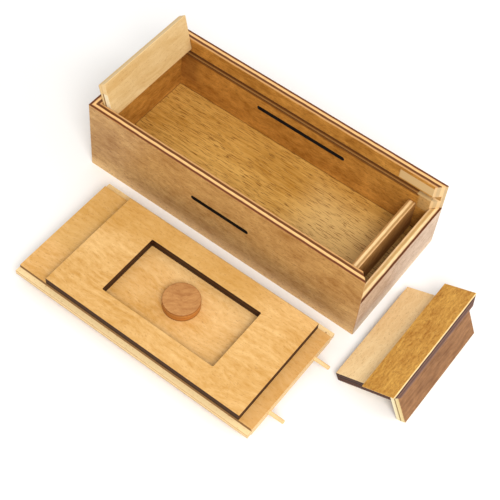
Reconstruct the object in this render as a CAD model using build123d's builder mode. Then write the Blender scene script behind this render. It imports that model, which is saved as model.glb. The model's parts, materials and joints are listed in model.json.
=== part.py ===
from build123d import *
from math import acos, atan2, cos, degrees, hypot, radians, sin
import os

# Wooden puzzle box, opened and laid out: the box itself with its flap tipped up, the lid lying inside
# face up in front of it, and the lift-off end piece standing like a tent to its right.
# Millimetres. Origin: centre of the box's underside. +X runs along the box to its low end, +Y to its
# back wall, +Z up.

# ---- driving dimensions ----
box_length = 264.0
box_width = 116.0
box_height = 71.5
board = 8.0  # plywood of the walls, lid panel, lid top plate, flap, strip and cover board
edge_round = 0.6  # sanded edges of the stained boards
corner_round = 1.2  # sanded vertical corners of the box

floor_thickness = 12.0
divider_thickness = 6.5
divider_corner = 3.5
lock_gap = 11.0  # between the divider and the right end wall

slot_height = 4.2
front_slot_length = 55.5
back_slot_length = 87.5
slot_level = 40.6

groove_depth = 5.4  # of the grooves that the lid slides in
tongue_thickness = 4.2
tongue_play = 1.4  # room above the lid's tongue
tongue_tip_play = 0.8  # between the tongue's tip and the bottom of its groove
side_play = 0.4  # between any board that fits between the side walls and each wall

lid_retreat = 17.2  # how far the lid can slide back from the end piece
plate_thickness = 6.5
pass_play = 0.4  # between the lid's inner plate and the divider's top, and the divider and the low end
plate_left_setback = 26.4
plate_right_setback = 12.1
window_length = 105.5
window_width = 59.0
window_from_left = 65.6
window_corner = 0.8
pocket_depth = 1.8  # how far the window goes on into the lid panel
disc_diameter = 30.0
disc_thickness = 8.2
disc_round = 0.8
disc_shift = (-1.2, 1.5)  # from the window's centre

pin_diameter = 3.2
pin_reach = 13.4  # part of a lock pin that stands out of the lid
pin_seat = 20.0  # part of a lock pin inside the lid panel
pin_spacing = 57.4
pin_chamfer = 0.4
pin_hole_play = 0.25  # radial room in the end piece's pin holes

rim_drop = 3.4  # from the side walls' top edges down to the deck of flap, top plate and cover board
deck_play = 1.2  # between the lid's outside face and the boards that lie over its ends
flap_length = 35.5
flap_pivot_inset = 4.0  # from the flap's hinge end to its pivot
flap_end_gap = 2.0  # between the flap's hinge end and the left wall, closed
flap_rest_gap = 0.15  # between the open flap and the edge that it leans on
flap_edge_round = 1.4
flap_bevel = 4.0  # how much shorter the flap is on its outside than on its inside
pivot_diameter = 3.0
pivot_play = 0.05
pivot_in_wall = 5.0
pivot_in_flap = 7.0

cover_depth = 29.5
end_tongue_thickness = 8.0
end_tongue_lift = 0.3  # under the tongue board when the end piece is on the box
foot_round = 0.4  # sanded edges of the tongue board and the cover board
strip_seat = 0.2  # between the strip and the right end wall
lid_end_play = 0.3
top_plate_play = 0.4  # between the top plate and the boards at its ends

# where the loose pieces lie beside the box
lid_gap = 16.0  # from the box's front to the lid's far tongue
lid_shift = 33.7  # from the box's left end to the lid's left end
end_piece_gap = 10.5  # from the box's right end to the end piece
end_piece_centre_line = -47.7

# ---- worked-out values ----
half_length = box_length / 2
half_width = box_width / 2
inner_width = box_width - 2 * board
inner_left = board - half_length
inner_right = half_length - board
fitted_width = inner_width - 2 * side_play
divider_right = inner_right - lock_gap
divider_left = divider_right - divider_thickness
groove_height = tongue_thickness + tongue_play
tongue_step = (board - tongue_thickness) / 2
deck_level = box_height - rim_drop - board
lid_outside_level = deck_level - deck_play
groove_floor = lid_outside_level - tongue_step - tongue_thickness
divider_height = lid_outside_level - board - plate_thickness - pass_play
low_end_height = divider_height - pass_play
pin_level = lid_outside_level - board / 2
tongue_width = groove_depth + side_play - tongue_tip_play

# closed places along the box, which set the lengths of the parts that meet there
lid_closed_right = inner_right - end_tongue_thickness - lid_end_play
lid_closed_left = inner_left + lid_retreat
lid_length = lid_closed_right - lid_closed_left
flap_closed_left = inner_left + flap_end_gap
pivot_x = flap_closed_left + flap_pivot_inset
pivot_z = deck_level + board / 2
top_plate_left = flap_closed_left + flap_length + top_plate_play - lid_closed_left
top_plate_right = inner_right - cover_depth - top_plate_play - lid_closed_left

# the open flap leans on the left wall's top inner edge: angle from closed
lean_reach = hypot(pivot_x - inner_left, box_height - pivot_z)
lean_turn = degrees(atan2(pivot_x - inner_left, box_height - pivot_z))
flap_open_angle = lean_turn + degrees(acos((board / 2 + flap_rest_gap) / lean_reach))

# end piece: distances inwards from the strip's outside face, and up from the strip's lower edge
strip_height = box_height - low_end_height - strip_seat
tongue_inside = board + end_tongue_thickness
tongue_drop = low_end_height + strip_seat - floor_thickness - end_tongue_lift
cover_inside = board + cover_depth
cover_top = strip_height - rim_drop
cover_underside = cover_top - board
pin_hole_height = pin_level - low_end_height - strip_seat
pin_hole_depth = pin_reach + 2 * lid_end_play


def wall(place, length, width, height, groove=False):
    """Mitred wall that stands on the place plane, its length along x and its outside face at y = 0.

    Its section has both top edges rounded. Its plan is a trapezoid, cut to the round corners of the
    whole box, which is width deep.
    """
    start = place.from_local_coords((-length / 2, 0, 0))
    with BuildSketch(Plane(start, x_dir=place.y_dir, z_dir=place.x_dir)) as section:
        Rectangle(board, height, align=Align.MIN)
        fillet(section.vertices().group_by(Axis.Y)[-1], edge_round)
        if groove:
            with Locations((board - groove_depth, groove_floor)):
                Rectangle(groove_depth, groove_height, align=Align.MIN, mode=Mode.SUBTRACT)
    extrude(section.sketch, amount=length)
    half = length / 2
    with BuildSketch(place) as plan:
        Polygon((-half, 0), (half, 0), (half - board, board), (board - half, board), align=None)
        with Locations((0, width / 2)):
            RectangleRounded(length, width, corner_round, mode=Mode.INTERSECT)
    extrude(plan.sketch, amount=height, mode=Mode.INTERSECT)


def long_board(section_plane, low, high, length, round_radius):
    """Board with the given corners of its section, its length centred on the section plane."""
    with BuildSketch(section_plane) as section:
        with Locations(((low[0] + high[0]) / 2, (low[1] + high[1]) / 2)):
            Rectangle(high[0] - low[0], high[1] - low[1])
        fillet(section.vertices(), round_radius)
    extrude(section.sketch, amount=length / 2, both=True)


def round_bar(plane, start, end, radius, mode=Mode.ADD):
    """Round bar or hole along the plane's normal, from start to end."""
    with BuildSketch(plane.offset(start)) as circle:
        Circle(radius)
    extrude(circle.sketch, amount=end - start, mode=mode)


def save(piece, name):
    piece.part.label = name
    export_step(piece.part, f"parts/{name}.step")


os.makedirs("parts", exist_ok=True)

# ---- box walls, floor and divider ----
front_place = Plane((0, -half_width, 0), x_dir=(1, 0, 0), z_dir=(0, 0, 1))
back_place = Plane((0, half_width, 0), x_dir=(-1, 0, 0), z_dir=(0, 0, 1))
left_place = Plane((-half_length, 0, 0), x_dir=(0, -1, 0), z_dir=(0, 0, 1))
right_place = Plane((half_length, 0, 0), x_dir=(0, 1, 0), z_dir=(0, 0, 1))


def side_wall_cuts(place, slot_length):
    """Card slot right through a side wall and the blind hole for the flap's pivot pin."""
    slot_plane = Plane(place.from_local_coords((0, 0, slot_level)), x_dir=place.x_dir, z_dir=place.y_dir)
    with BuildSketch(slot_plane) as slot:
        SlotOverall(slot_length, slot_height)
    extrude(slot.sketch, amount=board, mode=Mode.SUBTRACT)
    pivot_point = place.from_local_coords((pivot_x * place.x_dir.X, 0, pivot_z))
    pivot_plane = Plane(pivot_point, x_dir=place.x_dir, z_dir=place.y_dir)
    round_bar(pivot_plane, board - pivot_in_wall, board, pivot_diameter / 2, Mode.SUBTRACT)


with BuildPart() as front_wall:
    wall(front_place, box_length, box_width, box_height, groove=True)
    side_wall_cuts(front_place, front_slot_length)
save(front_wall, "front_wall")

with BuildPart() as back_wall:
    wall(back_place, box_length, box_width, box_height, groove=True)
    side_wall_cuts(back_place, back_slot_length)
save(back_wall, "back_wall")

with BuildPart() as left_end_wall:
    wall(left_place, box_width, box_length, box_height)
save(left_end_wall, "left_end_wall")

with BuildPart() as right_end_wall:
    wall(right_place, box_width, box_length, low_end_height)
save(right_end_wall, "right_end_wall")

with BuildPart() as floor_panel:
    with BuildSketch(Plane.XY):
        Rectangle(box_length - 2 * board, inner_width)
    extrude(amount=floor_thickness)
save(floor_panel, "floor_panel")

with BuildPart() as divider:
    with BuildSketch(Plane((divider_left, 0, 0), x_dir=(0, 1, 0), z_dir=(1, 0, 0))) as divider_face:
        with Locations((0, floor_thickness)):
            Rectangle(inner_width, divider_height - floor_thickness, align=(Align.CENTER, Align.MIN))
        fillet(divider_face.vertices().group_by(Axis.Y)[-1], divider_corner)
    extrude(amount=divider_thickness)
    fillet(divider.faces().sort_by(Axis.Z)[-1].edges().filter_by(Axis.Y), edge_round)
save(divider, "divider")

# ---- flap, tipped open about its two pivot pins ----
flap_turn = radians(flap_open_angle)
flap_section = Plane((pivot_x, 0, pivot_z), x_dir=(cos(flap_turn), 0, sin(flap_turn)), z_dir=(0, -1, 0))
pivot_axis = Plane((pivot_x, 0, pivot_z), x_dir=(1, 0, 0), z_dir=(0, -1, 0))
flap_half = fitted_width / 2

with BuildPart() as left_flap:
    with BuildSketch(flap_section) as flap_outline:
        free_end = flap_length - flap_pivot_inset
        Polygon(
            (-flap_pivot_inset, -board / 2),
            (free_end, -board / 2),
            (free_end - flap_bevel, board / 2),
            (-flap_pivot_inset, board / 2),
            align=None,
        )
        fillet(flap_outline.vertices().group_by(Axis.X)[0], flap_edge_round)
        fillet(flap_outline.vertices().filter_by_position(Axis.X, flap_pivot_inset, free_end), edge_round)
    extrude(amount=flap_half, both=True)
    hole_end = flap_half - pivot_in_flap - side_play
    round_bar(pivot_axis, hole_end, flap_half, pivot_diameter / 2 + pivot_play, Mode.SUBTRACT)
    round_bar(pivot_axis, -flap_half, -hole_end, pivot_diameter / 2 + pivot_play, Mode.SUBTRACT)
save(left_flap, "left_flap")

pin_inner_end = flap_half - pivot_in_flap
pin_outer_end = inner_width / 2 + pivot_in_wall

with BuildPart() as front_pivot_pin:
    round_bar(pivot_axis, pin_inner_end, pin_outer_end, pivot_diameter / 2)
save(front_pivot_pin, "front_pivot_pin")

with BuildPart() as rear_pivot_pin:
    round_bar(pivot_axis, -pin_outer_end, -pin_inner_end, pivot_diameter / 2)
save(rear_pivot_pin, "rear_pivot_pin")

# ---- lid, lying on its outside face in front of the box ----
lid_left_end = lid_shift - half_length
lid_centre_line = -half_width - lid_gap - fitted_width / 2 - tongue_width
lid_place = Plane((lid_left_end, lid_centre_line, 0), x_dir=(1, 0, 0), z_dir=(0, 0, 1))
lid_section = Plane(lid_place.origin, x_dir=(0, 1, 0), z_dir=(1, 0, 0))
panel_low = board
panel_high = 2 * board
plate_low = (plate_left_setback, -fitted_width / 2)
plate_high = (lid_length - plate_right_setback, fitted_width / 2)
window_centre = (window_from_left + window_length / 2, 0)


def pin_axis(side):
    """Axis of a lock pin, from the lid's right end outwards."""
    centre = lid_place.from_local_coords((lid_length, side * pin_spacing / 2, panel_low + board / 2))
    return Plane(centre, x_dir=(0, 1, 0), z_dir=(1, 0, 0))


def cut_window(level, depth):
    """Window opening, cut upwards from the given level."""
    with BuildSketch(lid_place.offset(level)) as window:
        with Locations(window_centre):
            RectangleRounded(window_length, window_width, window_corner)
    extrude(window.sketch, amount=depth, mode=Mode.SUBTRACT)


with BuildPart() as lid_panel:
    with BuildSketch(lid_section):
        with Locations((0, panel_low + board / 2)):
            Rectangle(fitted_width, board)
            Rectangle(fitted_width + 2 * tongue_width, tongue_thickness)
    extrude(amount=lid_length)
    cut_window(panel_high - pocket_depth, pocket_depth)
    for side in (-1, 1):
        round_bar(pin_axis(side), -pin_seat, 0, pin_diameter / 2, Mode.SUBTRACT)
save(lid_panel, "lid_panel")

with BuildPart() as lid_inner_plate:
    with BuildSketch(lid_place.offset(panel_high)):
        with Locations(((plate_low[0] + plate_high[0]) / 2, 0)):
            Rectangle(plate_high[0] - plate_low[0], fitted_width)
    extrude(amount=plate_thickness)
    cut_window(panel_high, plate_thickness)
save(lid_inner_plate, "lid_inner_plate")

top_plate_length = top_plate_right - top_plate_left
top_plate_section = lid_section.offset(top_plate_left + top_plate_length / 2)

with BuildPart() as lid_top_plate:
    top_plate_corners = ((-fitted_width / 2, 0), (fitted_width / 2, board))
    long_board(top_plate_section, *top_plate_corners, top_plate_length, edge_round)
save(lid_top_plate, "lid_top_plate")

with BuildPart() as lid_disc:
    with BuildSketch(lid_place.offset(panel_high - pocket_depth)):
        with Locations((window_centre[0] + disc_shift[0], window_centre[1] + disc_shift[1])):
            Circle(disc_diameter / 2)
    extrude(amount=disc_thickness)
    fillet(lid_disc.faces().sort_by(Axis.Z)[-1].edges(), disc_round)
save(lid_disc, "lid_disc")

for side, name in ((-1, "lock_pin_front"), (1, "lock_pin_rear")):
    with BuildPart() as lock_pin:
        round_bar(pin_axis(side), -pin_seat, pin_reach, pin_diameter / 2)
        chamfer(lock_pin.faces().sort_by(Axis.X)[-1].edges(), pin_chamfer)
    save(lock_pin, name)

# ---- end piece, standing like a tent on the tongue board's lower edge and the cover board's free edge ----
tent_turn = atan2(cover_inside - tongue_inside, cover_underside + tongue_drop)
foot_inside = tongue_inside - foot_round
foot_drop = tongue_drop - foot_round
tent_rise = foot_inside * cos(tent_turn) + foot_drop * sin(tent_turn) + foot_round
tent_left = half_length + end_piece_gap - board * sin(tent_turn) + tongue_drop * cos(tent_turn)
strip_place = Plane(
    (tent_left, end_piece_centre_line, tent_rise),
    x_dir=(0, -1, 0),
    z_dir=(cos(tent_turn), 0, sin(tent_turn)),
)
strip_section = Plane(strip_place.origin, x_dir=strip_place.y_dir, z_dir=strip_place.x_dir)


def end_piece_pin_holes():
    """Two pin holes, from the tongue board's inside face into the strip."""
    for side in (-1, 1):
        mouth = strip_place.from_local_coords((side * pin_spacing / 2, tongue_inside, pin_hole_height))
        hole_axis = Plane(mouth, x_dir=strip_place.x_dir, z_dir=-strip_place.y_dir)
        round_bar(hole_axis, 0, pin_hole_depth, pin_diameter / 2 + pin_hole_play, Mode.SUBTRACT)


with BuildPart() as end_strip:
    wall(strip_place, box_width, box_length, strip_height)
    end_piece_pin_holes()
save(end_strip, "end_strip")

with BuildPart() as end_tongue_board:
    tongue_corners = ((board, -tongue_drop), (tongue_inside, cover_underside))
    long_board(strip_section, *tongue_corners, fitted_width, foot_round)
    end_piece_pin_holes()
save(end_tongue_board, "end_tongue_board")

with BuildPart() as end_cover_board:
    long_board(strip_section, (board, cover_underside), (cover_inside, cover_top), fitted_width, foot_round)
save(end_cover_board, "end_cover_board")
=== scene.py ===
import json
import math

import bpy
import numpy as np
from mathutils import Matrix, Vector


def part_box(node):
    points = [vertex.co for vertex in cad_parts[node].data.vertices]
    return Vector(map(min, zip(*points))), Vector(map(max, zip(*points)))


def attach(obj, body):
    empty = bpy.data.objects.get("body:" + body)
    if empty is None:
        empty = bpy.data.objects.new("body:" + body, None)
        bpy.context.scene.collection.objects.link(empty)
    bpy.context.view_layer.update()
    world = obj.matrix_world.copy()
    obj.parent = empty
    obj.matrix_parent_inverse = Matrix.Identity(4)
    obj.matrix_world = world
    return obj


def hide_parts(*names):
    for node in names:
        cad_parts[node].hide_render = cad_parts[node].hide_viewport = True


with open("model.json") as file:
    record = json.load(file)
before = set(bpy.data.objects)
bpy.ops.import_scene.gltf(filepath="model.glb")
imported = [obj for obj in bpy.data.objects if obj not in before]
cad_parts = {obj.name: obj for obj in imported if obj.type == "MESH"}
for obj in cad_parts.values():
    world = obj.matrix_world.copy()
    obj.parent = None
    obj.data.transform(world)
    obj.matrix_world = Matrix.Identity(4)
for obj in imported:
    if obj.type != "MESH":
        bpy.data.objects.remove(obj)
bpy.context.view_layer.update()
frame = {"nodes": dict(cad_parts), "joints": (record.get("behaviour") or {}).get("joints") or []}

# Wooden puzzle box, opened: the box with its flap tipped up, the lid lying inside face up in front of it,
# the lift-off end piece standing like a tent to its right. Sizes are millimetres unless a note says so.
# A look's tints and edgePatches are boxes in the board's millimetres: lowest corner, highest corner, soft
# border, colour, amount. Coordinates run along the board's length, across it, and in from its outside face.
nodes = frame["nodes"]
mm = 0.001
boardThick = 8.0


# where each board lies: origin, then the directions along its grain, across it and through it
def boardPlace(origin, grain, through):
    grain, through = Vector(grain).normalized(), Vector(through).normalized()
    axes = np.array([grain, through.cross(grain), through], float)
    return {"origin": np.array(origin, float), "axes": axes}


def corners(node):
    low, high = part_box(node)
    return np.array(low) / mm, np.array(high) / mm


wallHigh = corners("back_wall")[1]
halfWidth = wallHigh[1]
endHigh = corners("right_end_wall")[1]
halfLength = endHigh[0]

frontPlace = boardPlace((0, -halfWidth, 0), (-1, 0, 0), (0, 1, 0))
backPlace = boardPlace((0, halfWidth, 0), (1, 0, 0), (0, -1, 0))
leftPlace = boardPlace((-halfLength, 0, 0), (0, 1, 0), (1, 0, 0))
rightPlace = boardPlace((halfLength, 0, 0), (0, -1, 0), (-1, 0, 0))
floorPlace = boardPlace((0, 0, 0), (1, 0, 0), (0, 0, 1))
dividerPlace = boardPlace((corners("divider")[0][0], 0, 0), (0, 1, 0), (1, 0, 0))

flapJoint = next(joint for joint in frame["joints"] if joint["name"] == "flap_hinge")
flapTurn = math.radians(flapJoint["range_deg"][1])
pivot = np.array(flapJoint["pos_m"]) / mm
flapThrough = np.array([-math.sin(flapTurn), 0, math.cos(flapTurn)])
flapPlace = boardPlace(pivot - flapThrough * boardThick / 2, (0, -1, 0), flapThrough)

lidLow, lidHigh = corners("lid_inner_plate")
lidLine = (lidLow[1] + lidHigh[1]) / 2
lidLeft = corners("lid_panel")[0][0]
panelPlace = boardPlace((lidLeft, lidLine, 8), (1, 0, 0), (0, 0, 1))
platePlace = boardPlace((lidLeft, lidLine, lidLow[2]), (1, 0, 0), (0, 0, 1))
topPlatePlace = boardPlace((lidLeft, lidLine, 0), (1, 0, 0), (0, 0, 1))

# the tent stands on the tongue board's lower edge and the cover board's free edge
tent = {"tongueInside": 16.0, "tongueDrop": 31.5, "coverInside": 37.5, "coverUnder": 16.3, "foot": 0.4,
        "fromBox": 10.5, "line": -47.7}
tentTurn = math.atan2(tent["coverInside"] - tent["tongueInside"], tent["coverUnder"] + tent["tongueDrop"])
tentIn = np.array([math.sin(tentTurn), 0, -math.cos(tentTurn)])
tentUp = np.array([math.cos(tentTurn), 0, math.sin(tentTurn)])
tentLeft = halfLength + tent["fromBox"] - boardThick * tentIn[0] + tent["tongueDrop"] * tentUp[0]
tentRise = (tent["foot"] - (tent["tongueInside"] - tent["foot"]) * tentIn[2]
            + (tent["tongueDrop"] - tent["foot"]) * tentUp[2])
tentOrigin = np.array([tentLeft, tent["line"], tentRise])
stripPlace = boardPlace(tentOrigin, (0, 1, 0), tentIn)
tonguePlace = boardPlace(tentOrigin + tentIn * boardThick, (0, 1, 0), tentIn)
coverPlace = boardPlace(tentOrigin + tentUp * tent["coverUnder"], (0, -1, 0), tentUp)


# surfaces
def roundedOutlines(low, high, radii, cornerSteps=5, sideSteps=14):
    # rows of rounded rectangles, anticlockwise: centre + radius * (cos a, sin a) round each corner,
    # a from 180 to 540 degrees, then a straight run of evenly spaced points to the next corner
    low, high, radii = (np.atleast_2d(np.asarray(v, float)) for v in (low, high, radii))
    signs = np.array([(-1, -1), (1, -1), (1, 1), (-1, 1)])
    turns = np.radians(180 + 90 * np.arange(4)[:, None] + np.linspace(0, 90, cornerSteps)[None])
    centres = np.where(signs < 0, low[:, None] + radii[..., None], high[:, None] - radii[..., None])
    arcs = centres[:, :, None] + radii[..., None, None] * np.stack([np.cos(turns), np.sin(turns)], -1)
    share = (np.arange(sideSteps) + 1)[:, None] / (sideSteps + 1)
    start, end = arcs[:, :, -1:], np.roll(arcs[:, :, :1], -1, 1)
    return np.concatenate([arcs, start + (end - start) * share], 2).reshape(len(low), -1, 2)


def addPiece(name, rows, place, body, stands, joined=False):
    # rows[i, j] are points (along, across, through) of the board; each row closes on itself, rows join
    # in order, and the first and last rows are joined to each other or closed with flat ends
    count, width = rows.shape[:2]
    index = np.arange(count * width).reshape(count, width)
    lower, upper = (index, np.roll(index, -1, 0)) if joined else (index[:-1], index[1:])
    quads = np.stack([lower, np.roll(lower, -1, 1), np.roll(upper, -1, 1), upper], -1).reshape(-1, 4).tolist()
    ends = [] if joined else [index[0, ::-1].tolist(), index[-1].tolist()]
    points = (place["origin"] + rows.reshape(-1, 3) @ place["axes"]) * mm
    mesh = bpy.data.meshes.new(name)
    mesh.from_pydata(points.tolist(), [], quads + ends)
    mesh.shade_smooth()
    mesh.set_sharp_from_angle(angle=math.radians(40))
    piece = bpy.data.objects.new(name, mesh)
    bpy.context.scene.collection.objects.link(piece)
    weighted = piece.modifiers.new("flatFacesStayFlat", "WEIGHTED_NORMAL")
    weighted.weight = 90
    weighted.keep_sharp = True
    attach(piece, body)
    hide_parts(*stands)
    return piece


def sandedRows(board):
    # A board's rows from its near face to its far face. Round its edges the outline moves from full size
    # towards the drawn-in one by share 1 - sin b, and stands r (1 - cos b) from the face, b from 0 to 90
    # degrees. Hand sanding makes r drift: 1 + wear (sin 3u + 0.6 sin 7u) / 1.6, u once round the board.
    low, high, radii = (np.array(board[key], float) for key in ("low", "high", "corner"))
    drawLow, drawHigh = np.array(board["drawLow"], float), np.array(board["drawHigh"], float)
    thick = board["thick"]
    farHigh = high - np.array(board.get("farShorter", (0, 0)), float)
    near, far = roundedOutlines(low, high, radii)[0], roundedOutlines(low, farHigh, radii)[0]
    inner = np.maximum(radii - min(drawHigh), 0.02)
    nearDrawn = roundedOutlines(low + drawLow, high - drawHigh, inner)[0]
    farDrawn = roundedOutlines(low + drawLow, farHigh - drawHigh, inner)[0]
    u = np.linspace(0, 2 * np.pi, len(near), endpoint=False) + board.get("seed", 0)
    drift = 1 + board.get("wear", 0.25) * (np.sin(3 * u) + 0.6 * np.sin(7 * u)) / 1.6
    b = np.radians(np.linspace(0, 90, 6))[:, None]
    move = np.abs(nearDrawn - near).max(1) * drift
    nearRise, farRise = move * (1 - np.cos(b)), thick - move * (1 - np.cos(b))
    nearShare, farShare = nearRise / thick, farRise / thick
    draw = ((1 - np.sin(b)) * drift)[..., None]
    nearRows = near + (far - near) * nearShare[..., None] + (nearDrawn - near) * draw
    farRows = near + (far - near) * farShare[..., None] + (farDrawn - far) * draw
    return np.concatenate([np.dstack([nearRows, nearRise]), np.dstack([farRows, farRise])[::-1]])


def mitredRows(wall):
    # A mitred wall's rows from its outside to its inside, at depth t. Its half length is half - t, and
    # half - R + sqrt(R^2 - (R - t)^2) where t is inside the box's round corner of radius R. Its top edges
    # are lower by r - sqrt(r^2 - (r - t)^2) near each face.
    half, high, thick = wall["length"] / 2, wall["height"], boardThick
    bigRound, smallRound = wall["cornerRound"], wall["edgeRound"]
    b = np.radians(np.linspace(0, 90, 8))
    outer = bigRound * (1 - np.cos(b))
    outer = np.sort(np.append(outer, smallRound * (1 - np.cos(b[1:]))))
    t = np.append(outer, thick - (smallRound * (1 - np.cos(b)))[::-1])
    meet = bigRound * (1 - math.sqrt(0.5))
    inCorner = half - bigRound + np.sqrt(np.maximum(bigRound ** 2 - (bigRound - t) ** 2, 0))
    reach = np.where(t < meet, inCorner, half - t)
    fromFace = np.minimum(np.minimum(t, thick - t), smallRound)
    drop = smallRound - np.sqrt(smallRound ** 2 - (smallRound - fromFace) ** 2)
    low = np.stack([-reach, np.zeros_like(t)], 1)
    top = np.stack([reach, high - drop], 1)
    plan = roundedOutlines(low, top, np.full((len(t), 4), 0.02), cornerSteps=2)
    return np.dstack([plan, np.broadcast_to(t[:, None], plan.shape[:2])])


def turnedRows(profile, columns=72):
    # radius and height pairs turned about the axis: (radius cos a, radius sin a, height)
    radius, height = np.array(profile, float).T[:, :, None]
    a = np.linspace(0, 2 * np.pi, columns, endpoint=False)
    heights = np.broadcast_to(height, (len(profile), columns))
    return np.dstack([radius * np.cos(a), radius * np.sin(a), heights])


def roundedEnd(radius, height, edge, steps=7):
    # profile points of a rounded rim: radius - edge (1 - cos a) and height - edge (1 - sin a), a from 0 to 90
    # degrees
    a = np.radians(np.linspace(0, 90, steps))
    return np.stack([radius - edge * (1 - np.cos(a)), height - edge * (1 - np.sin(a))], 1).tolist()


def windowRows(plate):
    # A plate with a window: the rim's outline goes up the outside, the rounded top edges lead across
    # to the window's outline, which goes down the inside, and the last row joins the first.
    edge = plate["edge"]
    a = np.radians(np.linspace(0, 90, 4))
    rise = plate["thick"] - edge * (1 - np.sin(a))
    draw = edge * (1 - np.cos(a))
    rim = roundedOutlines(plate["low"] + draw[:, None], plate["high"] - draw[:, None],
                          np.full((4, 4), 0.5) - draw[:, None] * 0.9)
    window = roundedOutlines(plate["windowLow"] - draw[::-1, None], plate["windowHigh"] + draw[::-1, None],
                             np.full((4, 4), plate["windowCorner"]) + draw[::-1, None])
    rows = np.concatenate([rim[:1], rim, window, window[-1:]])
    heights = np.concatenate([[0], rise, rise[::-1], [0]])
    return np.dstack([rows, np.broadcast_to(heights[:, None], rows.shape[:2])])


# materials
# millimetres and shares that every plywood surface uses
veneer = {
    "faceFrom": 0.62, "faceTo": 0.92,  # how squarely a surface must face through the board to show its veneer
    "warpLength": 45, "toneSpread": 0.24, "sideBlend": (0.4, 0.6), "bareSoft": 0.9,
    "glueWave": 0.7, "glueWaveLength": 14, "fibre": (5, 0.5), "fibreTone": (0.78, 1.08),
    "bumpHeight": 0.15, "gloss": 0.25,  # waxed or bare wood, so a weak shine
}


def toLinear(hexColour):
    # sRGB hex to linear: c / 12.92 below 0.04045, ((c + 0.055) / 1.055) ** 2.4 above
    parts = [int(hexColour[i:i + 2], 16) / 255 for i in (0, 2, 4)]
    return [c / 12.92 if c <= 0.04045 else ((c + 0.055) / 1.055) ** 2.4 for c in parts] + [1.0]


def addNode(tree, kind, settings=None, links=None, stops=None):
    # one node: its own settings, then its inputs, each a socket to link or a value, then a ramp's stops
    node = tree.nodes.new("ShaderNode" + kind)
    for name, value in (settings or {}).items():
        setattr(node, name, value)
    for name, value in (links or {}).items():
        if isinstance(value, bpy.types.NodeSocket):
            tree.links.new(value, node.inputs[name])
        else:
            node.inputs[name].default_value = value
    for i, (position, colour) in enumerate(stops or []):
        elements = node.color_ramp.elements
        stop = elements[i] if i < 2 else elements.new(position)
        stop.position = position
        stop.color = toLinear(colour)
    return node


def insideBox(tree, point, low, high, soft):
    # 1 inside the box from low to high, falling to 0 over soft millimetres outside it
    low, high = np.array(low, float), np.array(high, float)
    moved = addNode(tree, "VectorMath", {"operation": "SUBTRACT"}, {0: point, 1: tuple((low + high) / 2)})
    away = addNode(tree, "VectorMath", {"operation": "ABSOLUTE"}, {0: moved.outputs[0]})
    half = tuple((high - low) / 2)
    past = addNode(tree, "VectorMath", {"operation": "SUBTRACT"}, {0: away.outputs[0], 1: half})
    parts = addNode(tree, "SeparateXYZ", links={0: past.outputs[0]})
    most = addNode(tree, "Math", {"operation": "MAXIMUM"}, {0: parts.outputs[0], 1: parts.outputs[1]})
    most = addNode(tree, "Math", {"operation": "MAXIMUM"}, {0: most.outputs[0], 1: parts.outputs[2]})
    fade = addNode(tree, "MapRange", {"interpolation_type": "SMOOTHSTEP"},
                   {0: most.outputs[0], 1: 0.0, 2: soft, 3: 1.0, 4: 0.0})
    return fade.outputs[0]


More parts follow.
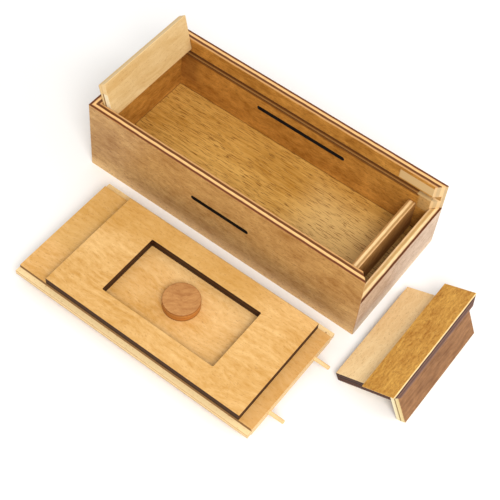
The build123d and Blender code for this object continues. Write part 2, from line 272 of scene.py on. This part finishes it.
def plywoodMaterial(name, place, look):
    # Rotary-cut plywood, sanded. The face veneer shows soft streaks, blotches, clouds and short pores;
    # sawn edges show the glued plies. All patterns are worked out in the board's own millimetres.
    material = bpy.data.materials.new(name)
    material.use_nodes = True
    tree = material.node_tree
    tree.nodes.clear()
    axes, origin = place["axes"], place["origin"]
    source = addNode(tree, "TexCoord")
    point = addNode(tree, "Mapping", {"vector_type": "POINT"}, {
        "Vector": source.outputs["Object"],
        "Scale": (1 / mm, 1 / mm, 1 / mm),
        "Rotation": Matrix(axes.tolist()).to_euler("XYZ"),
        "Location": tuple(-axes @ origin),
    }).outputs[0]
    depth = addNode(tree, "SeparateXYZ", links={0: point}).outputs[2]
    facing = addNode(tree, "VectorMath", {"operation": "DOT_PRODUCT"},
                     {0: source.outputs["Normal"], 1: tuple(axes[2])})
    facing = addNode(tree, "Math", {"operation": "ABSOLUTE"}, {0: facing.outputs["Value"]})
    face = addNode(tree, "MapRange", {"interpolation_type": "SMOOTHSTEP"},
                   {0: facing.outputs[0], 1: veneer["faceFrom"], 2: veneer["faceTo"]}).outputs[0]

    # a slow warp keeps the streaks from running dead straight
    warp = addNode(tree, "TexNoise", links={
        "Vector": point, "Scale": 1 / veneer["warpLength"], "Detail": 2.0})
    warp = addNode(tree, "VectorMath", {"operation": "SCALE"}, {
        0: warp.outputs["Color"], "Scale": look["warp"]})
    bent = addNode(tree, "VectorMath", {"operation": "ADD"}, {0: point, 1: warp.outputs[0]}).outputs[0]

    # streaks, blotches and clouds: each a noise with its length and width in millimetres and its share
    tone, total, power = None, 0.0, 0.0
    for key in ("streak", "blotch", "cloud"):
        long, wide, share = look[key]
        stretched = addNode(tree, "Mapping", links={"Vector": bent, "Scale": (1 / long, 1 / wide, 1 / wide)})
        noise = addNode(tree, "TexNoise", links={
            "Vector": stretched.outputs[0], "Scale": 1.0, "Detail": 4.0, "Roughness": 0.6})
        tone = addNode(tree, "Math", {"operation": "MULTIPLY_ADD"}, {
            0: noise.outputs["Fac"], 1: share, 2: tone.outputs[0] if tone else 0.0})
        total, power = total + share / 2, power + share ** 2
    spread = veneer["toneSpread"] * math.sqrt(power)
    toneShare = addNode(tree, "MapRange", links={
        0: tone.outputs[0], 1: total - spread, 2: total + spread}).outputs[0]

    thick = look["thick"]
    blendFrom, blendTo = veneer["sideBlend"]
    side = addNode(tree, "MapRange", links={0: depth, 1: thick * blendFrom, 2: thick * blendTo}).outputs[0]
    pair = [addNode(tree, "MixRGB", links={
        "Fac": toneShare, "Color1": toLinear(look[key][0]), "Color2": toLinear(look[key][1])}).outputs[0]
        for key in ("outside", "inside")]
    faceColour = addNode(tree, "MixRGB", links={"Fac": side, "Color1": pair[0], "Color2": pair[1]}).outputs[0]
    for low, high, soft, colour, amount in look.get("tints", []):
        patch = insideBox(tree, point, low, high, soft)
        patch = addNode(tree, "Math", {"operation": "MULTIPLY"}, {0: patch, 1: amount}).outputs[0]
        faceColour = addNode(tree, "MixRGB", links={
            "Fac": patch, "Color1": faceColour, "Color2": toLinear(colour)}).outputs[0]

    # pores: short dark dashes along the grain, drawn about twice as wide as real ones so that they show
    poreLong, poreWide, poreFrom, poreShare = look["pore"]
    porePoint = addNode(tree, "Mapping", links={
        "Vector": bent, "Scale": (1 / poreLong, 1 / poreWide, 1 / poreWide)})
    pore = addNode(tree, "TexNoise", links={
        "Vector": porePoint.outputs[0], "Scale": 1.0, "Detail": 1.5, "Roughness": 0.5})
    poreDepth = addNode(tree, "MapRange", {"interpolation_type": "SMOOTHSTEP"}, {
        0: pore.outputs["Fac"], 1: poreFrom, 2: poreFrom + 0.1, 3: 0.0, 4: poreShare}).outputs[0]
    faceColour = addNode(tree, "MixRGB", links={
        "Fac": poreDepth, "Color1": faceColour, "Color2": toLinear(look["poreColour"])}).outputs[0]

    # pin knots: small dark spots a few centimetres apart
    if "knots" in look:
        spacing, radius, amount = look["knots"]
        knot = addNode(tree, "TexVoronoi", links={"Vector": point, "Scale": 1 / spacing})
        knot = addNode(tree, "MapRange", {"interpolation_type": "SMOOTHSTEP"}, {
            0: knot.outputs["Distance"], 1: 0.4 * radius / spacing, 2: radius / spacing, 3: amount, 4: 0.0})
        faceColour = addNode(tree, "MixRGB", links={
            "Fac": knot.outputs[0], "Color1": faceColour, "Color2": toLinear(look["poreColour"])}).outputs[0]

    # bare patches: places that a neighbouring board covered while the stain went on
    for low, high in look.get("bare", []):
        patch = insideBox(tree, point, low, high, veneer["bareSoft"])
        faceColour = addNode(tree, "MixRGB", links={
            "Fac": patch, "Color1": faceColour, "Color2": toLinear(look["bareColour"])}).outputs[0]

    # plies: bands through the thickness, their glue lines waved by a slow noise
    wave = addNode(tree, "TexNoise", links={
        "Vector": point, "Scale": 1 / veneer["glueWaveLength"], "Detail": 3.0})
    waved = addNode(tree, "Math", {"operation": "MULTIPLY_ADD"}, {
        0: wave.outputs["Fac"], 1: veneer["glueWave"], 2: depth})
    halfWave = veneer["glueWave"] / 2
    share = addNode(tree, "MapRange", links={0: waved.outputs[0], 1: halfWave, 2: thick + halfWave})
    plies = addNode(tree, "ValToRGB", links={0: share.outputs[0]}, stops=look["plies"])
    fibreLong, fibreWide = veneer["fibre"]
    fibrePoint = addNode(tree, "Mapping", links={
        "Vector": point, "Scale": (1 / fibreLong, 1 / fibreWide, 1 / fibreWide)})
    fibre = addNode(tree, "TexNoise", links={"Vector": fibrePoint.outputs[0], "Scale": 1.0, "Detail": 3.0})
    fibreTone = addNode(tree, "MapRange", links={
        0: fibre.outputs["Fac"], 1: 0.3, 2: 0.7, 3: veneer["fibreTone"][0], 4: veneer["fibreTone"][1]})
    edgeColour = addNode(tree, "MixRGB", {"blend_type": "MULTIPLY"}, {
        "Fac": 1.0, "Color1": plies.outputs["Color"], "Color2": fibreTone.outputs[0]}).outputs[0]
    for low, high, soft, colour, amount in look.get("edgePatches", []):
        patch = insideBox(tree, point, low, high, soft)
        patch = addNode(tree, "Math", {"operation": "MULTIPLY"}, {0: patch, 1: amount}).outputs[0]
        edgeColour = addNode(tree, "MixRGB", links={
            "Fac": patch, "Color1": edgeColour, "Color2": toLinear(colour)}).outputs[0]

    colour = addNode(tree, "MixRGB", links={
        "Fac": face, "Color1": edgeColour, "Color2": faceColour}).outputs[0]
    rough = addNode(tree, "MapRange", links={
        0: toneShare, 1: 0.0, 2: 1.0, 3: look["rough"][0], 4: look["rough"][1]}).outputs[0]
    height = addNode(tree, "Math", {"operation": "MULTIPLY_ADD"}, {
        0: poreDepth, 1: -1.0, 2: toneShare}).outputs[0]
    bump = addNode(tree, "Bump", links={
        "Height": height, "Strength": look["bump"], "Distance": veneer["bumpHeight"] * mm})
    shader = addNode(tree, "BsdfPrincipled", links={
        "Base Color": colour, "Roughness": rough, "Normal": bump.outputs[0], "IOR": 1.5,
        "Specular IOR Level": veneer["gloss"]})
    addNode(tree, "OutputMaterial", links={"Surface": shader.outputs[0]})
    return material


def paint(piece, material):
    piece.data.materials.clear()
    piece.data.materials.append(material)


# depth shares of the five glued plies of an 8 mm board, stained: light sanded rim, dark, bright, dark, light
stainedPlies = [(0.0, "c88a50"), (0.04, "7e4620"), (0.09, "6a3612"), (0.22, "6a3612"), (0.30, "eab878"),
                (0.49, "f6c483"), (0.56, "6e3e14"), (0.77, "64360f"), (0.84, "cf9a5e"), (0.96, "cf9a5e"),
                (1.0, "7a4a20")]
# A look's keys: outside and inside are a face's light and dark colours. streak, blotch and cloud are length,
# width and share; pore adds where the noise starts to show, and knots are spacing, radius and share.
# rough is the roughness at the light and the dark colour, and bump is its strength.
# birch plywood, stained brown and waxed: warm, mottled, half matt, with dark glue lines on its edges
wallLook = {
    "thick": boardThick, "outside": ("cba062", "9c6c34"), "inside": ("d69b49", "945e19"), "warp": 9.0,
    "streak": (30, 1.6, 0.55), "blotch": (9, 5.0, 0.85), "cloud": (50, 30, 0.75),
    "pore": (2.6, 0.8, 0.56, 0.42), "poreColour": "75451a",
    "plies": stainedPlies, "rough": (0.38, 0.55), "bump": 0.35,
}
bareWood = "d7b782"
slotBurn = "120a05"  # the laser has charred the inside of the slots
# birch plywood, bare and sanded: pale gold with faint streaks and a few pin knots
lidLook = {
    "thick": boardThick, "outside": ("e9be81", "ca9346"), "inside": ("e9be81", "ca9346"), "warp": 14.0,
    "streak": (60, 3.2, 0.55), "blotch": (6, 2.6, 0.6), "cloud": (70, 40, 0.8),
    "pore": (2.6, 0.7, 0.60, 0.35), "poreColour": "9a6530", "knots": (34, 1.1, 0.75),
    "plies": [(0.0, "e6c48c"), (0.22, "e0b97e"), (0.28, "b07a3c"), (0.36, "e8c890"), (0.6, "e8c890"),
              (0.68, "b07a3c"), (0.76, "e3bd82"), (1.0, "e6c48c")],
    "rough": (0.42, 0.58), "bump": 0.2,
}

# box: side walls keep their grooves and card slots
floorJointShade = ((-140, 10, 7), (140, 12.6, 9), 0.5, "5a3210", 0.7)  # painted shade: a dark line where the walls meet the floor
floorBounceLight = ((-140, -4, -1), (140, 2, 1), 12, "e6bf86", 0.6)  # painted light: the outsides are lighter low down, standing in for light bounced up from the floor; the stain is also rubbed thin there


def sideWallLook(rightSign, slotHalf):
    # Towards the right end the end piece sat on the wall while the stain went on, so it is bare there.
    # rightSign is the sign of the board's own length direction towards the box's right end.
    def alongWall(spans, *rest):
        (left, right), heights, depths = spans
        left, right = sorted((left * rightSign, right * rightSign))
        return ((left, heights[0], depths[0]), (right, heights[1], depths[1]), *rest)

    return dict(
        wallLook,
        # painted bounce light low on the outside, painted shade along the floor joint
        tints=[floorBounceLight, floorJointShade,
               # painted shade: a dark band along the groove's lower lip on the inside face
               alongWall(((-140, 112), (51.4, 54), (7, 9)), 1.3, "70431b", 0.85),
               # painted shade: a soft dark patch on the inside face in the corner by the left end wall
               alongWall(((-124, -112), (28, 50), (7, 9)), 12, "7d4c1e", 0.5),
               alongWall(((115, 140), (40, 52.8), (7, 9)), 2.5, "cba66c", 0.65)],
        bare=[alongWall(((93.3, 124), (60, 68), (7, 9)))],
        bareColour=bareWood,
        # the groove's plies are painted dark: stain, with painted shade in the recess
        edgePatches=[alongWall(((-140, 112), (52, 59), (1, 5.6)), 0.6, "7a4a20", 0.85),
                     alongWall(((-140, 112), (52, 59), (5.9, 7.0)), 0.4, "a8743a", 0.8),
                     alongWall(((-140, 112), (52, 59), (7.4, 8.2)), 0.2, "4a280e", 0.9),
                     alongWall(((112, 123), (44.5, 59), (-1, 9)), 1.0, "d0b07a", 0.8),
                     alongWall(((124, 140), (44.5, 70.4), (-1, 9)), 0.5, "e8cf9e", 0.65),
                     alongWall(((-slotHalf, slotHalf), (38, 43.2), (-1, 9)), 0.3, slotBurn, 1.0)])


paint(nodes["front_wall"], plywoodMaterial("stainedPlyFrontWall", frontPlace, sideWallLook(-1, 29)))
paint(nodes["back_wall"], plywoodMaterial("stainedPlyBackWall", backPlace, sideWallLook(1, 45)))

# box: end walls
leftEnd = {"length": 2 * halfWidth, "height": wallHigh[2], "cornerRound": 1.2, "edgeRound": 0.6}
leftWall = addPiece("leftEndWall", mitredRows(leftEnd), leftPlace, "box", ["left_end_wall"])
# the left end gets the same painted shade along the floor joint and the painted bounce light low on its
# outside
paint(leftWall, plywoodMaterial("stainedPlyLeftEnd", leftPlace, dict(wallLook, tints=[floorBounceLight, floorJointShade])))

rightEnd = dict(leftEnd, height=endHigh[2])
# painted reflection: the outside is painted a pale, slightly pink brown, standing in for the sheen of the
# bright floor seen at a grazing angle on the brown stain
rightLook = dict(wallLook, outside=("d4ba9e", "a98a70"), streak=(60, 2.2, 0.8),
                 # painted light: lighter low down, bounce light from the floor as on the side walls; then
                 # painted shade along the floor joint
                 tints=[((-140, -4, -1), (140, 2, 1), 12, "e6cdb0", 0.5), floorJointShade],
                 plies=[(0.0, "6a3814"), (0.19, "5c2e0e"), (0.27, "e9c28e"), (0.42, "fadaa4"),
                        (0.60, "bd9358"), (0.76, "c39a5e"), (0.86, "dfbb8b"), (0.96, "c49a66"),
                        (1.0, "8a5c2c")])
rightRows = mitredRows(rightEnd)
rightWall = addPiece("rightEndWall", rightRows, rightPlace, "box", ["right_end_wall"])
paint(rightWall, plywoodMaterial("stainedPlyRightEnd", rightPlace, rightLook))
print("end walls")

# box: divider and floor
dividerLow, dividerHigh = corners("divider")
divider = {
    "low": (dividerLow[1], dividerLow[2]), "high": (dividerHigh[1], dividerHigh[2]), "thick": 6.5,
    "corner": (0.1, 0.1, 3.5, 3.5), "drawLow": (0.05, 0.05), "drawHigh": (0.05, 0.6),
    "wear": 0.2, "seed": 1.0,
}
# plain stained plywood, its top edge worn lighter
dividerLook = dict(wallLook, thick=6.5, inside=("b98a50", "8e5f2c"), outside=("b98a50", "8e5f2c"),
                   plies=[(0.0, "b4874f"), (0.2, "a5763f"), (0.34, "f0ca92"), (0.54, "f0ca92"),
                          (0.66, "b2864e"), (0.80, "b2864e"), (0.92, "dcb27c"), (1.0, "caa06b")])
dividerPiece = addPiece("dividerBoard", sandedRows(divider), dividerPlace, "box", ["divider"])
paint(dividerPiece, plywoodMaterial("stainedPlyDivider", dividerPlace, dividerLook))

# stained plywood with open grain: golden, with long dark dashes
floorLook = {
    "thick": 12.0, "outside": ("c48f48", "c48f48"), "inside": ("e2b25e", "a8721f"), "warp": 3.0,
    "streak": (60, 1.3, 0.8), "blotch": (20, 2.0, 0.45), "cloud": (60, 26, 0.8),
    "pore": (9.0, 0.6, 0.56, 0.85), "poreColour": "7a4a16",
    "plies": [(0.0, "b98a50"), (0.3, "8a5a2a"), (0.6, "caa068"), (1.0, "9a6a34")],
    "tints": [((60, -60, 10), (110, 10, 14), 45, "dcbc80", 0.5)],
    "rough": (0.42, 0.6), "bump": 0.5,
}
paint(nodes["floor_panel"], plywoodMaterial("stainedPlyFloor", floorPlace, floorLook))
print("divider and floor")

# flap and its pivot pins
flap = {
    "low": (-49.6, -4), "high": (49.6, 31.35), "farShorter": (0, 4), "thick": boardThick,
    "corner": (0.3, 0.3, 0.3, 0.3), "drawLow": (0.25, 1.4), "drawHigh": (0.25, 0.8),
    "wear": 0.15, "seed": 2.0,
}
# bare plywood, a little greyer than the lid
flapLook = dict(lidLook, inside=("d4b682", "c09a60"), outside=("dabe8b", "c29b5e"), blotch=(18, 7, 0.4),
                streak=(70, 3.5, 0.7),
                plies=[(0.0, "efdcb4"), (0.50, "f2e2be"), (0.58, "9a6a34"), (0.66, "8a5a28"),
                       (0.74, "ecd09a"), (0.92, "e2bd80"), (1.0, "6a4420")],
                edgePatches=[((-60, 20, -1), (60, 40, 6.9), 0.6, "ddb97e", 0.85)])
flapPiece = addPiece("tippedFlap", sandedRows(flap), flapPlace, "flap", ["left_flap"])
paint(flapPiece, plywoodMaterial("barePlyFlap", flapPlace, flapLook))

pivotPin = {"radius": 1.5, "from": 42.6, "to": 55.0, "edge": 0.3}
# turned beech dowel: pale, with fine straight grain
beechLook = dict(lidLook, thick=40.0, outside=("ecc993", "d9ac6c"), inside=("ecc993", "d9ac6c"),
                 streak=(12, 0.5, 1.0), plies=[(0.0, "ecc993"), (1.0, "dcb070")])
pivotPins = (("frontPivotPin", "front_pivot_pin", -1), ("rearPivotPin", "rear_pivot_pin", 1))
for pinName, node, direction in pivotPins:
    pinPlace = boardPlace(pivot, (1, 0, 0), (0, direction, 0))
    reach = roundedEnd(pivotPin["radius"], pivotPin["to"], pivotPin["edge"])
    profile = [(pivotPin["radius"] - 0.2, pivotPin["from"]), (pivotPin["radius"], pivotPin["from"] + 0.3)]
    profile += reach
    pinPiece = addPiece(pinName, turnedRows(profile, 32), pinPlace, "box", [node])
    paint(pinPiece, plywoodMaterial("beechDowel" + pinName[0].upper() + pinName[1:], pinPlace, beechLook))
print("flap")

# lid: panel with its tongues, inner plate with its window, top plate, disc, lock pins
lidLength = corners("lid_panel")[1][0] - lidLeft
# bare plywood, its tongues cut fresh and pale, with a dark line painted along the steps beside them
tongueTint, stepLine = "efd8a6", "6e421a"
panelLook = dict(
    lidLook,
    tints=[((-1, -60, -1), (230, -50, 7), 0.3, tongueTint, 0.7),
           ((-1, 50, -1), (230, 60, 7), 0.3, tongueTint, 0.7),
           ((-1, -50.1, 5), (230, -49.4, 7), 0.3, stepLine, 0.8),
           ((-1, 49.4, 5), (230, 50.1, 7), 0.3, stepLine, 0.8),
           # painted shade on the strip of panel beyond the plate's right end
           ((211, -50, 7), (230, 50, 9), 0.8, "c08e50", 0.45),
           # darker gold towards the back of the left end: painted shade where the light falls off away from
           # the front right, with some wood tone
           ((-1, -10, 7), (24, 50, 9), 14, "c2954a", 0.4)],
    edgePatches=[((-1, -50.4, 6.2), (221.5, -49, 8.2), 0.2, stepLine, 0.8),
                 ((-1, 49, 6.2), (221.5, 50.4, 8.2), 0.2, stepLine, 0.8),
                 ((65, -30.2, 6.1), (171.8, 30.2, 8.2), 0.2, "331508", 1.0)])
paint(nodes["lid_panel"], plywoodMaterial("barePlyLidPanel", panelPlace, panelLook))

windowLow, windowHigh = np.array([65.6, -29.5]), np.array([171.1, 29.5])
plate = {
    "low": np.array([26.4, -49.6]), "high": np.array([lidLength - 12.1, 49.6]), "thick": 6.5, "edge": 0.5,
    "windowLow": windowLow, "windowHigh": windowHigh, "windowCorner": 0.8,
}
# laser-cut plywood: golden face, edges burnt nearly black, with one glue line showing
plateLook = dict(lidLook, thick=6.5, outside=("e8be7e", "c28e44"), inside=("e8be7e", "c28e44"),
                 # darker gold towards the back left: painted shade where the light falls off away from the
                 # front right, with some wood tone
                 tints=[((20, 34, 4), (150, 60, 8), 26, "c4903e", 0.42)],
                 plies=[(0.0, "260b02"), (0.40, "260b02"), (0.5, "5a2a10"), (0.6, "260b02"), (0.92, "260b02"),
                        (1.0, "7a4a20")])
plateRows = windowRows(plate)
platePiece = addPiece("windowPlate", plateRows, platePlace, "lid", ["lid_inner_plate"], True)
paint(platePiece, plywoodMaterial("laserCutPlyPlate", platePlace, plateLook))

topPlate = {
    "low": (20.7, -49.6), "high": (200.9, 49.6), "thick": boardThick, "corner": (0.6, 0.6, 0.6, 0.6),
    "drawLow": (0.5, 0.5), "drawHigh": (0.5, 0.5), "wear": 0.3, "seed": 3.0,
}
topPlateRows = sandedRows(topPlate)
topPlatePiece = addPiece("topPlate", topPlateRows, topPlatePlace, "lid", ["lid_top_plate"])
paint(topPlatePiece, plywoodMaterial("stainedPlyTopPlate", topPlatePlace, wallLook))

disc = {"radius": 15.0, "thick": 8.2, "edge": 0.7, "shift": (-1.2, 1.5)}
discCentre = (windowLow + windowHigh) / 2 + np.array(disc["shift"])
discPlace = boardPlace((lidLeft + discCentre[0], lidLine + discCentre[1], 14.2), (0.8, 0.6, 0), (0, 0, 1))
# a plywood disc with a tan face, its grain turned against the lid's
discLook = dict(lidLook, thick=8.2, inside=("ca9458", "9c6432"), outside=("ca9458", "9c6432"),
                streak=(14, 3.0, 0.7), warp=26.0, pore=(2.2, 0.7, 0.58, 0.5), poreColour="9a6230",
                plies=[(0.0, "6a3812"), (0.22, "c07c36"), (0.5, "b87230"), (0.75, "c48440"), (0.92, "a8682c"),
                       (1.0, "8a5424")])
discProfile = [(disc["radius"] - 0.2, 0), (disc["radius"], 0.2)]
discProfile += roundedEnd(disc["radius"], disc["thick"], disc["edge"])
discRows = turnedRows(discProfile, 120)
discPiece = addPiece("gluedDisc", discRows, discPlace, "lid", ["lid_disc"])
paint(discPiece, plywoodMaterial("tanPlyDisc", discPlace, discLook))

lockPin = {"radius": 1.6, "seat": 20.0, "reach": 13.4, "edge": 0.5, "spacing": 57.4, "level": 12.0}
for pinName, node, direction in (("lockPinFront", "lock_pin_front", -1), ("lockPinRear", "lock_pin_rear", 1)):
    line = lidLine + direction * lockPin["spacing"] / 2
    pinPlace = boardPlace((lidLeft + lidLength, line, lockPin["level"]), (0, 1, 0), (1, 0, 0))
    profile = [(lockPin["radius"] - 0.2, -lockPin["seat"]), (lockPin["radius"], 0.3 - lockPin["seat"])]
    profile += roundedEnd(lockPin["radius"], lockPin["reach"], lockPin["edge"])
    pinPiece = addPiece(pinName, turnedRows(profile, 40), pinPlace, "lid", [node])
    paint(pinPiece, plywoodMaterial("beechDowel" + pinName[0].upper() + pinName[1:], pinPlace, beechLook))
print("lid")

# end piece: strip, tongue board, cover board
strip = dict(leftEnd, height=27.7)
# stained plywood, golden and finely speckled outside
stripLook = dict(wallLook, outside=("deaa50", "a1651d"), inside=("8c6450", "6a4636"),
                 streak=(14, 2.2, 0.6), blotch=(3.4, 1.9, 0.7), cloud=(30, 18, 0.7),
                 pore=(2.2, 0.9, 0.56, 0.35),
                 plies=[(0.0, "d8a860"), (0.04, "f2d29a"), (0.13, "eec78c"), (0.18, "44230f"),
                        (0.36, "3a1e14"), (0.46, "7a5040"), (0.58, "43281e"), (0.8, "6a4636"),
                        (1.0, "8a6450")])
stripPiece = addPiece("endStrip", mitredRows(strip), stripPlace, "end_piece", ["end_strip"])
paint(stripPiece, plywoodMaterial("stainedPlyStrip", stripPlace, stripLook))

# bare plywood, pale and even, with laser-burnt ends
tongueLook = dict(lidLook, outside=("f4d7a4", "e1ba82"), inside=("f4d7a4", "e1ba82"),
                  # painted shadow: a dark line along the tongue board's face where the strip meets it
                  tints=[((-60, -0.8, -1), (60, 1, 1), 0.4, "6a4018", 0.75)],
                  plies=[(0.0, "240c04"), (0.18, "2a1006"), (0.26, "66381c"), (0.34, "240c04"),
                         (0.5, "2a1006"), (0.58, "66381c"), (0.66, "240c04"), (0.84, "5c3018"),
                         (1.0, "2a1006")])
paint(nodes["end_tongue_board"], plywoodMaterial("barePlyTongueBoard", tonguePlace, tongueLook))

cover = {
    "low": (-49.6, 8), "high": (49.6, 37.5), "thick": boardThick, "corner": (0.4, 0.4, 0.4, 0.4),
    "drawLow": (0.45, 0.45), "drawHigh": (0.45, 0.45), "wear": 0.12, "seed": 4.0,
}
# the darkest stain of the set, with pale glued edges
coverLook = dict(wallLook, outside=("9e6e3e", "6a411c"), inside=("9e6e3e", "6a411c"), streak=(40, 2.0, 0.9),
                 plies=[(0.0, "d8c898"), (0.08, "ece0bc"), (0.40, "e6d4a4"), (0.46, "8a6a3c"),
                        (0.54, "8a6a3c"), (0.60, "e4cf98"), (0.90, "dcc288"), (1.0, "a87a50")])
coverRows = sandedRows(cover)
coverPiece = addPiece("coverBoard", coverRows, coverPlace, "end_piece", ["end_cover_board"])
paint(coverPiece, plywoodMaterial("stainedPlyCover", coverPlace, coverLook))
print("end piece")


# stage, light, camera
stageLook = {"size": 6.0, "colour": "f6f5f3", "worldStrength": 0.80, "keyStrength": 19.0, "fillStrength": 7.0}

floorMesh = bpy.data.meshes.new("paleFloor")
reach = stageLook["size"] / 2
floorCorners = [(-reach, -reach, 0), (reach, -reach, 0), (reach, reach, 0), (-reach, reach, 0)]
floorMesh.from_pydata(floorCorners, [], [(0, 1, 2, 3)])
paleFloor = bpy.data.objects.new("paleFloor", floorMesh)
bpy.context.scene.collection.objects.link(paleFloor)
floorPaint = bpy.data.materials.new("matPaintedFloor")
floorPaint.use_nodes = True
floorShader = floorPaint.node_tree.nodes["Principled BSDF"]
floorShader.inputs["Base Color"].default_value = toLinear(stageLook["colour"])
floorShader.inputs["Roughness"].default_value = 0.9
paint(paleFloor, floorPaint)

world = bpy.data.worlds.new("softStudio")
world.use_nodes = True
world.node_tree.nodes["Background"].inputs["Color"].default_value = (1, 1, 1, 1)
world.node_tree.nodes["Background"].inputs["Strength"].default_value = stageLook["worldStrength"]
bpy.context.scene.world = world


def softLight(name, place, target, size, power, colour=(1, 1, 1)):
    data = bpy.data.lights.new(name, "AREA")
    data.shape = "DISK"
    data.size = size
    data.energy = power
    data.color = colour
    lamp = bpy.data.objects.new(name, data)
    lamp.location = place
    lamp.rotation_euler = (Vector(target) - Vector(place)).to_track_quat("-Z", "Y").to_euler()
    bpy.context.scene.collection.objects.link(lamp)


warmWhite, faintPink = (1.0, 0.985, 0.96), (1.0, 0.96, 0.96)
softLight("keyLight", (0.80, -0.85, 1.30), (0.02, -0.05, 0), 0.9, stageLook["keyStrength"], warmWhite)
softLight("sideLight", (1.5, 0.5, 0.7), (0.1, 0, 0), 1.0, stageLook["fillStrength"], faintPink)

cameraLook = {"azimuth": 31.26, "elevation": 54.94, "roll": 6.92, "aim": (0.0345, -0.0629, 0.03),
              "distance": 0.9468, "lens": 88.56}
azimuth, elevation = math.radians(cameraLook["azimuth"]), math.radians(cameraLook["elevation"])
back = Vector((math.sin(azimuth), -math.cos(azimuth), 0)) * math.cos(elevation)
back.z = math.sin(elevation)
cameraData = bpy.data.cameras.new("camera")
cameraData.lens = cameraLook["lens"]
cameraData.sensor_width = 36
cameraData.clip_start = 0.01
camera = bpy.data.objects.new("camera", cameraData)
camera.location = Vector(cameraLook["aim"]) + back * cameraLook["distance"]
level = Vector((math.cos(azimuth), math.sin(azimuth), 0))
upright = back.cross(level)
roll = math.radians(cameraLook["roll"])
right = level * math.cos(roll) + upright * math.sin(roll)
camera.rotation_mode = "QUATERNION"
camera.rotation_quaternion = Matrix((right, back.cross(right), back)).transposed().to_quaternion()
bpy.context.scene.collection.objects.link(camera)
bpy.context.scene.camera = camera
bpy.context.scene.view_settings.view_transform = "Standard"
print("stage, lights and camera")
